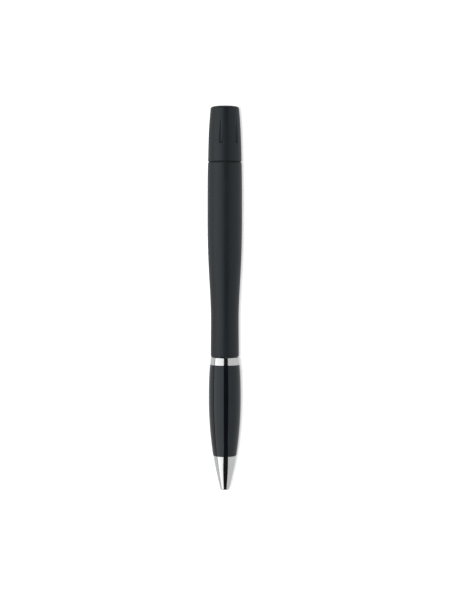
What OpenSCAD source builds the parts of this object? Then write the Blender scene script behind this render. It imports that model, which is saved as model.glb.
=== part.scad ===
// Double-ended pen: a twist-action ballpoint at one end, and under the cap at the other
// end a fibre-tip marker whose iodine ink tests banknotes.
// Every part is drawn upright, with the pen's axis on +Z and the writing end at 0.
// lay() then puts the pen down on its side: writing end towards -Y, cap towards +Y.

/* [Overall] */
// Length from the mouth of the nose cone to the end of the cap
pen_len = 145; // [142:1:152]
// Diameter of the barrel at its widest
barrel_d = 13; // [12.8:0.1:13.4]

/* [Cap] */
// Length of the cap
cap_len = 20.85; // [20.5:0.05:21.5]
// Diameter at the cap's open rim
cap_rim_d = 12.6; // [12.4:0.1:12.8]
// Diameter at the cap's closed end, before its rounded edge
cap_end_d = 10.72; // [10.5:0.02:10.9]
// Number of finger flutes round the cap
flutes = 6; // [4:1:8]
// Depth of a flute at its deep end
flute_depth = 0.4; // [0.3:0.05:0.6]
// Angle of the first flute from the top of the lying pen
flute_turn = -14; // [-20:0.5:20]

/* [Barrel] */
// Diameter at the waist, the barrel's slimmest place
waist_d = 10.48; // [10.3:0.02:10.6]
// Length of the straight stretch at the widest diameter
band_len = 8; // [7:0.5:9]

/* [Grip and nose] */
// Length of the nose cone that shows
nose_len = 13; // [12.8:0.1:13.2]
// Outside diameter of the nose cone's mouth
mouth_d = 3.35; // [3:0.05:3.4]
// Diameter where nose cone and grip meet
grip_front_d = 8.7; // [8.5:0.05:8.8]
// Diameter of the grip at its fullest
grip_d = 12.2; // [11.8:0.05:12.3]
// Diameter where grip and ring meet
grip_back_d = 11.04; // [10.9:0.02:11.1]
// Width of the centre ring
ring_w = 2.9; // [2.7:0.1:3]

/* [Refill and twist] */
// How far the point comes out, for the full twist
travel = 5; // [4.5:0.1:5]
// Turn of the barrel that brings the point out
twist_deg = 180; // [150:5:180]
// Overall length of the ballpoint refill
refill_len = 67; // [66:0.5:68]
// Outside diameter of the refill tube
tube_d = 3; // [2.9:0.05:3.1]
// Diameter of the writing ball
ball_d = 1; // [0.8:0.1:1]
// Depth of the ball's end inside the nose cone, point in
sunk = 1.5; // [1.2:0.1:1.6]

/* [Marker] */
// Diameter of the marker nib
nib_d = 3.4; // [3:0.1:3.6]
// Diameter of the fibre ink reservoir
wad_d = 8.2; // [7.6:0.1:8.4]

/* [Hidden] */
$fn = 96;
steps = 14;            // straight lines that stand for one smooth curve
slip = 0.05;           // radial running clearance
snug = 0.02;           // radial clearance of parts pushed together for good
eps = 0.01;

// Stations along the pen, from the mouth of the nose cone
grip_back = 47.5;
ring_back = grip_back + ring_w;
neck_back = ring_back - 0.3;
barrel_front = ring_back + 0.07;
cap_rim = pen_len - cap_len;
barrel_back = cap_rim - 0.5;
band_back = barrel_back - 12.65;
band_front = band_back - band_len;

// Nose cone
mouth_hole_r = 1.25;
guide_r = tube_d / 2 + 0.2;
spring_room_r = 2.45;
spring_seat = 7;
spigot_r = 3.5;
spigot_len = 5;

// Twist mechanism
housing_r = 3.45;
housing_bore_r = 2.75;
collar_r = 4.75;
rotor_r = 4.2;
rotor_front = barrel_front + 0.55;
rotor_back = rotor_front + 22;
tail = sunk + refill_len;
socket_depth = 3.5;
plunger_front = tail - socket_depth;
plunger_len = 8;
lug_at = plunger_front + 5;
lug_r = 0.45;
lug_play = 0.05;
lead = travel * 360 / twist_deg;
slot_r = (housing_r + rotor_r) / 2;
helix_deg = atan(lead / (2 * PI * slot_r));
slot_w = (2 * (lug_r + lug_play)) / sin(helix_deg);

// Refill
tube_bore_r = 0.95;
point_r = 1.15;
point_back = 9;
ball_at = sunk + ball_d / 2;
ear_at = 27;
ear_r = 2.1;
ink_back = 58;
wire_d = 0.32;
coil_r = 1.85;

// Marker
chamber_r = 5;
chamber_front = 80;
neck_r = 4.85;
seal_r = 3.95;
nib_tip = cap_rim + 14.1;
wad_front = chamber_front + 4.8;
wad_back = cap_rim - 7.3;
nib_root = wad_back - 5;
cap_bore_r = 4.97;
liner_bore_r = 4.6;
flute_cutter_r = 0.8;

// A point on the cubic curve through p[0] and p[3], pulled by p[1] and p[2]
function on_curve(p, t) =
    pow(1 - t, 3) * p[0] + 3 * t * pow(1 - t, 2) * p[1]
    + 3 * t * t * (1 - t) * p[2] + pow(t, 3) * p[3];
function curve(p) = [for (i = [0 : steps]) on_curve(p, i / steps)];

// A quarter-round edge about centre c, of radius r, from angle a to angle b
function round_edge(c, r, a, b) =
    [for (i = [0 : 4]) c + r * [cos(a + (b - a) * i / 4), sin(a + (b - a) * i / 4)]];

module lay() {
    translate([0, -pen_len / 2, barrel_d / 2]) rotate([-90, 0, 0]) children();
}

module turned(outline) {
    rotate_extrude() polygon(outline);
}

module tube(r, bore, from, to) {
    turned([[bore, from], [r, from], [r, to], [bore, to]]);
}

// Same shape twice, on opposite sides of the axis
module twice() {
    for (a = [0, 180]) rotate(a) children();
}

// Bullet-shaped front of the pen, pushed into the grip by its spigot
module nose_cone() {
    bead = 0.12;
    lay() color("silver") turned(concat(
        [[mouth_hole_r + 0.1, 0]],
        curve([[mouth_d / 2, 0], [2.62, 4], [3.72, 9], [grip_front_d / 2, nose_len]]),
        [
            [spigot_r - snug, nose_len],
            [spigot_r - snug, nose_len + 2],
            [spigot_r + bead - snug, nose_len + 2.4],
            [spigot_r + bead - snug, nose_len + 2.8],
            [spigot_r - snug, nose_len + 3.2],
            [spigot_r - snug, nose_len + spigot_len - 0.4],
            [spigot_r - 0.3, nose_len + spigot_len],
            [spring_room_r, nose_len + spigot_len],
            [spring_room_r, spring_seat],
            [guide_r, spring_seat],
            [guide_r, 3.8],
            [mouth_hole_r, 3],
            [mouth_hole_r, 0.1]
        ]));
}

// Glossy finger grip; its neck carries the ring, its bore the twist housing
module grip_barrel() {
    bead = 0.12;
    groove = nose_len + 2.6;
    edge = 0.3;
    shoulder_r = grip_back_d / 2 + 0.16;
    lay() color("black") turned(concat(
        [[spigot_r, nose_len]],
        curve([[grip_front_d / 2 + 0.12, nose_len], [5.2, 18], [grip_d / 2, 25.5], [grip_d / 2, 35]]),
        curve([[grip_d / 2, 35], [grip_d / 2, 40.5], [5.93, 44.5], [shoulder_r, grip_back - edge]]),
        round_edge([shoulder_r - edge, grip_back - edge], edge, 0, 90),
        [
            [4.5, grip_back],
            [4.5, neck_back],
            [housing_r, neck_back],
            [housing_r, nose_len + spigot_len + 0.3],
            [spigot_r, nose_len + spigot_len + 0.3],
            [spigot_r, groove + 0.7],
            [spigot_r + bead, groove + 0.3],
            [spigot_r + bead, groove - 0.3],
            [spigot_r, groove - 0.7]
        ]));
}

// Bright ring between grip and barrel; it also hides the twist housing's collar
module center_ring() {
    lay() color("silver") turned([
        [4.5 + snug, grip_back],
        [grip_back_d / 2 - 0.1, grip_back],
        [grip_back_d / 2 - 0.02, grip_back + 0.15],
        [waist_d / 2 + 0.05, ring_back - 0.2],
        [waist_d / 2 - 0.08, ring_back],
        [collar_r + 0.03, ring_back],
        [collar_r + 0.03, neck_back],
        [4.5 + snug, neck_back]
    ]);
}

// Fixed tube of the twist mechanism: its two long slots let the plunger slide but not turn
module mechanism_housing() {
    lip_r = 3.75;
    lay() color("white") difference() {
        turned([
            [housing_bore_r, 38],
            [housing_r - 0.25, 38],
            [housing_r - snug, 38.5],
            [housing_r - snug, neck_back],
            [collar_r, neck_back],
            [collar_r, neck_back + 0.25],
            [housing_r - snug, neck_back + 0.25],
            [housing_r - snug, rotor_back + 0.15],
            [lip_r, rotor_back + 0.15],
            [lip_r, rotor_back + 0.55],
            [housing_r - 0.15, rotor_back + 1.4],
            [housing_bore_r, rotor_back + 1.4]
        ]);
        twice() translate([0, -lug_r - lug_play, lug_at - travel - lug_r - 0.15])
            cube([housing_r + 1, 2 * (lug_r + lug_play), travel + 2 * lug_r + 0.3]);
        // slits that let the snap lip spring inwards
        rotate(90) twice() translate([0, -0.3, rotor_back - 4]) cube([lip_r + 1, 0.6, 6]);
    }
}

// Tube that turns with the barrel: its two helical slots drive the plunger's lugs
module cam_rotor() {
    over = 0.5;
    ribs = 12;
    lay() color("ivory") difference() {
        union() {
            tube(rotor_r - 0.12, housing_r - snug + slip, rotor_front, rotor_back);
            for (i = [0 : ribs - 1]) rotate(i * 360 / ribs)
                translate([rotor_r - 0.3, -0.25, rotor_front + 1]) cube([0.3, 0.5, 8]);
        }
        twice() translate([0, 0, lug_at - travel - over])
            rotate(twist_deg * (travel + over) / travel)
            linear_extrude(
                height = travel + 2 * over,
                twist = twist_deg * (travel + 2 * over) / travel,
                slices = 30,
                $fn = 16)
            translate([housing_r - 0.4, -slot_w / 2]) square([1.6, slot_w]);
    }
}

// Carries the refill's tail; the lugs run in the housing's slots and the rotor's helix
module plunger() {
    lay() color("white") difference() {
        union() {
            turned([
                [0, plunger_front],
                [housing_bore_r - slip - 0.3, plunger_front],
                [housing_bore_r - slip, plunger_front + 0.4],
                [housing_bore_r - slip, plunger_front + plunger_len - 0.4],
                [housing_bore_r - slip - 0.4, plunger_front + plunger_len],
                [0, plunger_front + plunger_len]
            ]);
            twice() translate([1.5, 0, lug_at]) rotate([0, 90, 0]) cylinder(r = lug_r, h = rotor_r - 1.7);
        }
        translate([0, 0, plunger_front - eps])
            cylinder(r = tube_d / 2 + snug, h = socket_depth + eps);
        translate([0, 0, plunger_front + plunger_len - 2]) cylinder(r = 1.4, h = 3);
    }
}

// Wire helix that keeps the refill seated in the plunger, with closed end turns
module return_spring() {
    turns = 11;
    per_turn = 20;
    sides = 8;
    dead = 1.2;                     // closed turns at each end
    dead_pitch = wire_d + 0.03;     // they lie a hair apart
    front = spring_seat + wire_d / 2;
    back = ear_at - wire_d / 2;
    live_len = back - front - 2 * dead * dead_pitch;
    live = turns - 2 * dead;
    function height_at(t) =
        t < dead ? front + t * dead_pitch
        : t > turns - dead ? back - (turns - t) * dead_pitch
        : front + dead * dead_pitch + (t - dead) / live * live_len;
    rings = turns * per_turn;
    points = [for (i = [0 : rings]) let (t = i / per_turn, a = t * 360)
        for (k = [0 : sides - 1]) let (b = k * 360 / sides, r = coil_r + wire_d / 2 * cos(b))
            [r * cos(a), r * sin(a), height_at(t) + wire_d / 2 * sin(b)]];
    skin = [for (i = [0 : rings - 1], k = [0 : sides - 1]) let (n = (k + 1) % sides)
        [i * sides + k, (i + 1) * sides + k, (i + 1) * sides + n, i * sides + n]];
    ends = [[for (k = [0 : sides - 1]) k], [for (k = [sides - 1 : -1 : 0]) rings * sides + k]];
    lay() color("gray") polyhedron(points, concat(skin, ends));
}

// Soft-touch barrel: twist mechanism in the narrow bore, marker chamber in the wide one
module upper_barrel() {
    bore_r = rotor_r + snug;
    edge = 0.6;
    rib_count = 4;
    lay() color("dimgray") union() {
        turned(concat(
            [[bore_r, barrel_front + 0.3], [bore_r + 0.3, barrel_front]],
            round_edge([waist_d / 2 + 0.09 - edge, barrel_front + edge], edge, -90, 0),
            curve([[waist_d / 2 + 0.09, barrel_front + 1], [waist_d / 2 + 0.07, 56],
                   [waist_d / 2, 59.5], [waist_d / 2, 64]]),
            curve([[waist_d / 2, 64], [waist_d / 2, 76],
                   [barrel_d / 2, 82], [barrel_d / 2, band_front]]),
            curve([[barrel_d / 2, band_back], [barrel_d / 2, band_back + 5],
                   [6.42, barrel_back - 4], [6.34, barrel_back - 0.15]]),
            round_edge([6.19, barrel_back - 0.15], 0.15, 0, 90),
            [
                [chamber_r + 0.2, barrel_back],
                [chamber_r, barrel_back - 0.2],
                [chamber_r, chamber_front],
                [bore_r, chamber_front - 0.8]
            ]));
        for (i = [0 : rib_count - 1]) rotate(45 + i * 360 / rib_count)
            translate([wad_d / 2 + 0.15, -0.4, chamber_front + 4.6])
                cube([chamber_r + 0.3 - wad_d / 2 - 0.15, 0.8, wad_back - 3.5 - chamber_front - 4.6]);
    }
}

// Bung that closes the marker chamber from below
module chamber_plug() {
    r = chamber_r - snug;
    lay() color("white") turned([
        [0, chamber_front + 0.1],
        [r - 0.3, chamber_front + 0.1],
        [r, chamber_front + 0.5],
        [r, chamber_front + 4],
        [r - 0.2, chamber_front + 4.3],
        [r - 0.9, chamber_front + 4.3],
        [r - 1.1, chamber_front + 1.4],
        [0, chamber_front + 1.4]
    ]);
}

// Fibre wad that holds the iodine ink, pierced at the top for the nib
module ink_reservoir() {
    lay() color("goldenrod") turned([
        [0, wad_front], [wad_d / 2, wad_front], [wad_d / 2, wad_back],
        [nib_d / 2 + snug, wad_back], [nib_d / 2 + snug, nib_root - eps], [0, nib_root - eps]
    ]);
}

// Thin film wrapped round the wad
module reservoir_film() {
    lay() color("lightyellow")
        tube(wad_d / 2 + snug + 0.08, wad_d / 2 + snug, wad_front - 0.3, wad_back + 0.3);
}

// Plug, cap seat and nib cone in one moulding, pushed into the barrel's open end
module nib_holder() {
    hole_r = nib_d / 2 + snug;
    lip_r = hole_r + 0.55;
    flange_r = 6.1;
    seal_at = cap_rim + 5.6;
    lay() color("dimgray") difference() {
        turned([
            [hole_r, wad_back + 0.7],
            [wad_d / 2 + 0.15, wad_back + 0.7],
            [wad_d / 2 + 0.15, wad_back - 3],
            [chamber_r - snug - 0.25, wad_back - 3],
            [chamber_r - snug, wad_back - 2.6],
            [chamber_r - snug, barrel_back],
            [flange_r, barrel_back],
            [flange_r, cap_rim - 0.12],
            [neck_r, cap_rim - 0.12],
            [neck_r, cap_rim + 2.4],
            [neck_r + 0.08, cap_rim + 2.7],
            [neck_r + 0.08, cap_rim + 3.1],
            [neck_r, cap_rim + 3.4],
            [neck_r, cap_rim + 5],
            [neck_r - 0.3, cap_rim + 5.3],
            [seal_r, seal_at],
            [seal_r, seal_at + 1.8],
            [seal_r - 0.3, seal_at + 2.2],
            [lip_r, nib_tip - 3.3],
            [lip_r - 0.2, nib_tip - 3],
            [hole_r, nib_tip - 3]
        ]);
        // air channels beside the nib
        twice() translate([hole_r - 0.2, -0.2, wad_back]) cube([0.5, 0.4, 20]);
    }
}

// Bonded-fibre nib with a slanted chisel end
module detector_nib() {
    lay() color("peru") difference() {
        translate([0, 0, nib_root]) cylinder(d = nib_d, h = nib_tip - nib_root);
        for (side = [0, 180]) rotate(side) translate([0.45, -5, nib_tip]) rotate([0, 153, 0])
            translate([-5, 0, -1]) cube([5, 10, 8]);
        translate([-5, 0, nib_tip - 0.9]) rotate([24, 0, 0]) translate([0, -5, 0]) cube([10, 12, 6]);
    }
}

// Tapered, fluted push-on cap
module cap_shell() {
    deep_end = cap_rim + 6.55;
    floor_r = 6.08 - flute_depth;
    end_r = cap_end_d / 2;
    lay() color("dimgray") difference() {
        turned(concat(
            [[cap_bore_r + 0.2, cap_rim]],
            round_edge([cap_rim_d / 2 - 0.15, cap_rim + 0.15], 0.15, -90, 0),
            curve([[cap_rim_d / 2, cap_rim + 1], [6.17, cap_rim + 7.4],
                   [5.92, cap_rim + 14.4], [end_r, pen_len - 1.15]]),
            round_edge([end_r - 0.85, pen_len - 1.2], 0.85, 8, 78),
            curve([[end_r - 0.75, pen_len - 0.352], [3.6, pen_len - 0.137], [1.8, pen_len], [0, pen_len]]),
            [
                [0, pen_len - 1.6],
                [liner_bore_r - 0.3, pen_len - 1.6],
                [liner_bore_r, pen_len - 1.9],
                [liner_bore_r, cap_rim + 5.9],
                [cap_bore_r, cap_rim + 5.5],
                [cap_bore_r, cap_rim + 3.3],
                [cap_bore_r + 0.06, cap_rim + 3.1],
                [cap_bore_r + 0.06, cap_rim + 2.7],
                [cap_bore_r, cap_rim + 2.5],
                [cap_bore_r, cap_rim + 0.2]
            ]));
        for (i = [0 : flutes - 1])
            rotate(-90 + flute_turn + i * 360 / flutes)
            translate([floor_r + flute_cutter_r, 0, deep_end + flute_cutter_r]) {
                sphere(r = flute_cutter_r);
                cylinder(r = flute_cutter_r, h = cap_len);
            }
    }
}

// Liner that closes over the nib holder's cone so that the ink can't dry
module cap_inner_seal() {
    mouth = cap_rim + 6.1;
    room_r = 3.1;
    wall = 0.55;
    end_in = pen_len - 2.3;
    lay() color("white") turned([
        [seal_r + slip, mouth],
        [liner_bore_r - snug, mouth],
        [liner_bore_r - snug, mouth + 2.6],
        [room_r + wall, mouth + 5.2],
        [room_r + wall, end_in + wall],
        [0, end_in + wall],
        [0, end_in],
        [room_r, end_in],
        [room_r, mouth + 5],
        [seal_r + slip, mouth + 2.3]
    ]);
}

// Plastic ink tube with two crimped ears that the spring pushes on
module refill_tube() {
    lay() color("aliceblue") union() {
        tube(tube_d / 2, tube_bore_r, point_back, tail - eps);
        twice() translate([tube_d / 2 - 0.3, -0.25, ear_at]) intersection() {
            cube([ear_r - tube_d / 2 + 0.3, 0.5, 1.8]);
            rotate([0, 20, 0]) translate([-1, 0, 0]) cube([3, 0.5, 4]);
        }
    }
}

module refill_ink() {
    lay() color("navy")
        translate([0, 0, point_back + 3.6]) cylinder(r = tube_bore_r - eps, h = ink_back - point_back - 3.6);
}

// Plug of grease that follows the ink down the tube
module ink_follower() {
    lay() color("khaki") translate([0, 0, ink_back + eps]) cylinder(r = tube_bore_r - eps, h = 2.5);
}

// Turned metal point: seat for the ball, ink channel, and a tail pushed into the tube
module refill_point() {
    rim = ball_at - 0.18;
    seat_r = ball_d / 2 + 0.03;
    lay() color("goldenrod") difference() {
        turned([
            [0, rim],
            [ball_d / 2 + 0.05, rim],
            [ball_d / 2 + 0.16, rim + 0.5],
            [point_r, rim + 2.7],
            [point_r, point_back - 0.3],
            [point_r - 0.05, point_back],
            [tube_bore_r - eps, point_back],
            [tube_bore_r - eps, point_back + 3.2],
            [tube_bore_r - 0.15, point_back + 3.5],
            [0, point_back + 3.5]
        ]);
        translate([0, 0, ball_at]) sphere(r = seat_r);
        translate([0, 0, ball_at]) cylinder(r = 0.3, h = 20);
    }
}

module writing_ball() {
    lay() color("gray") translate([0, 0, ball_at]) sphere(d = ball_d);
}

nose_cone();
grip_barrel();
center_ring();
mechanism_housing();
return_spring();
upper_barrel();
cam_rotor();
chamber_plug();
ink_reservoir();
reservoir_film();
nib_holder();
detector_nib();
cap_shell();
cap_inner_seal();
plunger();
refill_tube();
refill_ink();
ink_follower();
refill_point();
writing_ball();
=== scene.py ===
import math

import bmesh
import bpy
from mathutils import Matrix, Vector
from mathutils.geometry import interpolate_bezier


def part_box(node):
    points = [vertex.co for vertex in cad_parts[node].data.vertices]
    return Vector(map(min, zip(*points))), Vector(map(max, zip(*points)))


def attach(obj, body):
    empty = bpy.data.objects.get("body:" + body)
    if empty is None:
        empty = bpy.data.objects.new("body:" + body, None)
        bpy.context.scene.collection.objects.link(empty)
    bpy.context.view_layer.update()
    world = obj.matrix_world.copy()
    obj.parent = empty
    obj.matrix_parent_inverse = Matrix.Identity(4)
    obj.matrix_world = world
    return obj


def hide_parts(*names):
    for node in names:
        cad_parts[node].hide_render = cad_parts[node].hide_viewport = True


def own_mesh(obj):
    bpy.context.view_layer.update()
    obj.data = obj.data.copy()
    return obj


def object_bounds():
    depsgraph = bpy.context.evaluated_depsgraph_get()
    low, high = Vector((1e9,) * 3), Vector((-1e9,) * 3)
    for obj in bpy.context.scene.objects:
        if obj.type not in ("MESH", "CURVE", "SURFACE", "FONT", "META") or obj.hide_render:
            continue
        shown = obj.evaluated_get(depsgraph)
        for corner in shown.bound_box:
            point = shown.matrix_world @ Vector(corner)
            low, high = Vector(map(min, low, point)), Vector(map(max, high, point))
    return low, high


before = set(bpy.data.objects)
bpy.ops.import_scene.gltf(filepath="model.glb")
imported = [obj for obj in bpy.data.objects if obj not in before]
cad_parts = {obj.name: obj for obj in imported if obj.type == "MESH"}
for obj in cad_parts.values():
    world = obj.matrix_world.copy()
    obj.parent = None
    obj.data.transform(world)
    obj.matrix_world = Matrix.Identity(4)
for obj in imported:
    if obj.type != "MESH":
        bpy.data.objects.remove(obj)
cad_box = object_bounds()

# The pen lies on its side: writing end towards -Y, cap towards +Y. Lengths below are in
# millimetres, measured along the pen from the mouth of the nose cone, and out from its axis.
MM = 0.001
mouth_y = cad_box[0].y
axis_z = (cad_box[0].z + cad_box[1].z) / 2


# ---- Refill point -------------------------------------------------------------------------
# A nickel-silver cone, turned on a lathe from wire and crimped round the ball. Its tail is
# barbed and pushed into the plastic tube.

def ends(node):
    """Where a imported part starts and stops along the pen."""
    low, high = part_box(node)
    return (low.y - mouth_y) / MM, (high.y - mouth_y) / MM


def spot(out, along, turn=0.0):
    """A point of the pen: out from the axis, along the pen, and turned from the top towards +X."""
    angle = math.radians(turn)
    return Vector((out * MM * math.sin(angle), mouth_y + along * MM, axis_z + out * MM * math.cos(angle)))


def reading(co):
    """The other way round: how far out a vertex lies, how far along, and its turn from the top."""
    across, up = co.x, co.z - axis_z
    return math.hypot(across, up) / MM, (co.y - mouth_y) / MM, math.degrees(math.atan2(across, up))


def flow(a, b, c, d, cuts=16):
    """A smooth stretch of outline from a to d, drawn towards b and c on the way."""
    points = interpolate_bezier(*[Vector((*p, 0)) for p in (a, b, c, d)], cuts + 1)
    return [(p.x, p.y) for p in points]


def arc(centre, radius, start, stop, cuts=6):
    """A round stretch of outline; 0 degrees points outwards and 90 towards the cap."""
    turns = [math.radians(start + (stop - start) * i / cuts) for i in range(cuts + 1)]
    return [(centre[0] + radius * math.cos(t), centre[1] + radius * math.sin(t)) for t in turns]


def start_piece(name, add, **place):
    """Adds one primitive with nothing else selected."""
    bpy.ops.object.select_all(action="DESELECT")
    add(**place)
    piece = bpy.context.object
    piece.name = piece.data.name = name
    return piece


def pick(piece, wanted, kind="verts"):
    """In edit mode, selects just the vertices, edges or faces for which wanted() is true."""
    bpy.ops.mesh.select_all(action="DESELECT")
    mesh = bmesh.from_edit_mesh(piece.data)
    for part in getattr(mesh, kind):
        if wanted(part):
            part.select_set(True)
    if kind != "verts":
        mesh.select_flush_mode()
    bmesh.update_edit_mesh(piece.data)


def turned(name, outline, around=144):
    """A turned part. A vertex is drawn out along the half-section, corners given as
    (out, along, ease) are rounded by that much, and the wire is spun once round the axis."""
    corners = [spot(*corner[:2]) for corner in outline]
    piece = start_piece(name, bpy.ops.mesh.primitive_plane_add, size=MM)
    bpy.ops.object.mode_set(mode="EDIT")
    bpy.ops.mesh.select_mode(type="VERT")
    bpy.ops.mesh.merge(type="CENTER")
    bpy.ops.transform.translate(value=corners[0])
    on_axis = outline[0][0] == 0 and outline[-1][0] == 0
    route = corners if on_axis else corners + corners[:1]
    for here, there in zip(route, route[1:]):
        bpy.ops.mesh.extrude_region_move(TRANSFORM_OT_translate={"value": there - here})
    bpy.ops.mesh.select_all(action="SELECT")
    bpy.ops.mesh.remove_doubles(threshold=1e-7)
    for corner, place in zip(outline, corners):
        if len(corner) == 3:
            pick(piece, lambda v: (v.co - place).length < 1e-6)
            bpy.ops.mesh.bevel(offset=corner[2] * MM, segments=5, affect="VERTICES")
    bpy.ops.mesh.select_all(action="SELECT")
    bpy.ops.mesh.spin(steps=around, angle=2 * math.pi, center=spot(0, 0), axis=(0, 1, 0))
    bpy.ops.mesh.select_all(action="SELECT")
    bpy.ops.mesh.remove_doubles(threshold=1e-7)
    bpy.ops.mesh.normals_make_consistent(inside=False)
    bpy.ops.object.mode_set(mode="OBJECT")
    return piece


def smooth(piece, angle=32):
    """Smooth shading up to sharp edges, with flat stretches kept flat beside rounded corners."""
    bpy.ops.object.select_all(action="DESELECT")
    piece.select_set(True)
    bpy.context.view_layer.objects.active = piece
    bpy.ops.object.shade_smooth_by_angle(angle=math.radians(angle))
    even = piece.modifiers.new("even", "WEIGHTED_NORMAL")
    even.keep_sharp = True
    bpy.ops.object.modifier_apply(modifier=even.name)


def new_finish(name, colour, roughness, metallic=0.0):
    """A material with its plain values on the shader's own sockets."""
    finish = bpy.data.materials.new(name)
    finish.use_nodes = True
    shader = shader_of(finish)
    shader.inputs["Base Color"].default_value = (*colour, 1)
    shader.inputs["Roughness"].default_value = roughness
    shader.inputs["Metallic"].default_value = metallic
    return finish


def shader_of(finish):
    """The shader that a material's plain values sit on."""
    return finish.node_tree.nodes["Principled BSDF"]


def grain(finish, size, stretch=(1, 1, 1), detail=2.0):
    """Noise fixed to the piece, in blotches of about size millimetres; stretch draws them out."""
    nodes, links = finish.node_tree.nodes, finish.node_tree.links
    place, fit = nodes.new("ShaderNodeTexCoord"), nodes.new("ShaderNodeMapping")
    noise = nodes.new("ShaderNodeTexNoise")
    fit.inputs["Scale"].default_value = [1 / (size * MM * s) for s in stretch]
    noise.inputs["Scale"].default_value = 1
    noise.inputs["Detail"].default_value = detail
    links.new(place.outputs["Object"], fit.inputs["Vector"])
    links.new(fit.outputs["Vector"], noise.inputs["Vector"])
    return noise.outputs["Fac"]


def vary(finish, pattern, socket, low, high):
    """Lets a pattern drive one of the shader's values between low and high. Noise seldom leaves
    the middle of its range, so that part is spread over the whole."""
    nodes, links = finish.node_tree.nodes, finish.node_tree.links
    spread = nodes.new("ShaderNodeMapRange")
    spread.inputs["From Min"].default_value = 0.3
    spread.inputs["From Max"].default_value = 0.7
    spread.inputs["To Min"].default_value = low
    spread.inputs["To Max"].default_value = high
    links.new(pattern, spread.inputs["Value"])
    links.new(spread.outputs["Result"], shader_of(finish).inputs[socket])


def tint(finish, pattern, first, second, edges=(0.35, 0.65)):
    """Lets a pattern blend the base colour from first to second."""
    nodes, links = finish.node_tree.nodes, finish.node_tree.links
    ramp = nodes.new("ShaderNodeValToRGB")
    for stop, place, colour in zip(ramp.color_ramp.elements, edges, (first, second)):
        stop.position = place
        stop.color = (*colour, 1)
    links.new(pattern, ramp.inputs["Fac"])
    links.new(ramp.outputs["Color"], shader_of(finish).inputs["Base Color"])


def relief(finish, *layers):
    """Bumps the surface by patterns, each given with its height in millimetres."""
    nodes, links = finish.node_tree.nodes, finish.node_tree.links
    below = None
    for pattern, height in layers:
        bump = nodes.new("ShaderNodeBump")
        bump.inputs["Distance"].default_value = height * MM
        links.new(pattern, bump.inputs["Height"])
        if below is not None:
            links.new(below, bump.inputs["Normal"])
        below = bump.outputs["Normal"]
    links.new(below, shader_of(finish).inputs["Normal"])


def lathe_metal(name, colour, roughness, tarnish):
    """Turned metal: fine rings left by the tool, and a slight change of colour along the part."""
    metal = new_finish(name, colour, roughness, metallic=1)
    rings = grain(metal, 0.05, stretch=(400, 1, 400), detail=4)
    tint(metal, grain(metal, 2.5), tarnish, colour)
    vary(metal, rings, "Roughness", roughness * 0.7, roughness * 1.5)
    relief(metal, (rings, 0.003))
    return metal


point_front, point_back = ends("refill_point")
ball_low, ball_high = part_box("writing_ball")
ball_r = (ball_high.y - ball_low.y) / 2 / MM
ball_at = (ball_low.y + ball_high.y - 2 * mouth_y) / 2 / MM
tube_front, tube_back = ends("refill_tube")
ink_hole_r = 0.3
body_r = 1.15
groove_r = 1.05
barb_r = 0.94
barb_root_r = 0.88

point = turned("refill_point_turned", [
    (ink_hole_r, point_back), (ink_hole_r, ball_at + 0.44),
    *arc((0, ball_at), ball_r + 0.03, 55, -18, cuts=8),
    (ball_r + 0.06, point_front, 0.02),
    (ball_r + 0.16, point_front + 0.5, 0.04),
    (1.02, point_front + 2.25, 0.06), (0.98, point_front + 2.45, 0.03),
    (body_r, point_front + 2.7, 0.1),
    (body_r, tube_front - 2.2, 0.04), (groove_r, tube_front - 2.1),
    (groove_r, tube_front - 1.8), (body_r, tube_front - 1.7, 0.04),
    (body_r, tube_front - 0.3, 0.06), (1.1, tube_front - 0.02), (0.9, tube_front - 0.02),
    (barb_r, tube_front + 0.9), (barb_root_r, tube_front + 0.95),
    (barb_r, tube_front + 1.9), (barb_root_r, tube_front + 1.95),
    (barb_r, tube_front + 2.9), (0.8, point_back, 0.05)], around=96)
smooth(point)
nickel_silver = lathe_metal("nickel_silver", (0.66, 0.6, 0.45), 0.22, (0.5, 0.4, 0.26))
point.data.materials.append(nickel_silver)
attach(point, "refill")
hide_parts("refill_point")


# ---- Writing ball -------------------------------------------------------------------------
# A ground carbide ball, loose in the point's seat and wetted by ink from behind. It keeps the
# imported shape, which is a true sphere.

carbide = new_finish("ball_carbide_inked", (0.36, 0.36, 0.38), 0.16, metallic=1)
tint(carbide, grain(carbide, 0.35), (0.36, 0.36, 0.38), (0.03, 0.045, 0.16), edges=(0.45, 0.6))
vary(carbide, grain(carbide, 0.12), "Roughness", 0.1, 0.3)
relief(carbide, (grain(carbide, 0.03), 0.0008))
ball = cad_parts["writing_ball"]
ball.data.materials.clear()
ball.data.materials.append(carbide)
for face in ball.data.polygons:
    face.use_smooth = True


# ---- Refill tube --------------------------------------------------------------------------
# Extruded from milky polypropylene and cut square. Two ears are pinched out of its wall while
# hot, and the return spring pushes on them.

def cut(piece, tool, operation="DIFFERENCE"):
    """Cuts one mesh with another, or joins it on, and throws the tool away."""
    bpy.context.view_layer.objects.active = piece
    change = piece.modifiers.new("cut", "BOOLEAN")
    change.operation = operation
    change.solver = "EXACT"
    change.object = tool
    bpy.ops.object.modifier_apply(modifier=change.name)
    bpy.data.objects.remove(tool, do_unlink=True)


def block(name, size, place, bevel=0.0):
    """A rectangular lump whose edges are taken off, sized across, along and up."""
    piece = start_piece(name, bpy.ops.mesh.primitive_cube_add, size=1, location=place)
    piece.scale = [s * MM for s in size]
    bpy.ops.object.transform_apply(location=True, rotation=False, scale=True)
    if bevel:
        bpy.ops.object.mode_set(mode="EDIT")
        bpy.ops.mesh.select_all(action="SELECT")
        bpy.ops.mesh.bevel(offset=bevel * MM, segments=3, affect="EDGES")
        bpy.ops.object.mode_set(mode="OBJECT")
    return piece


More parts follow.
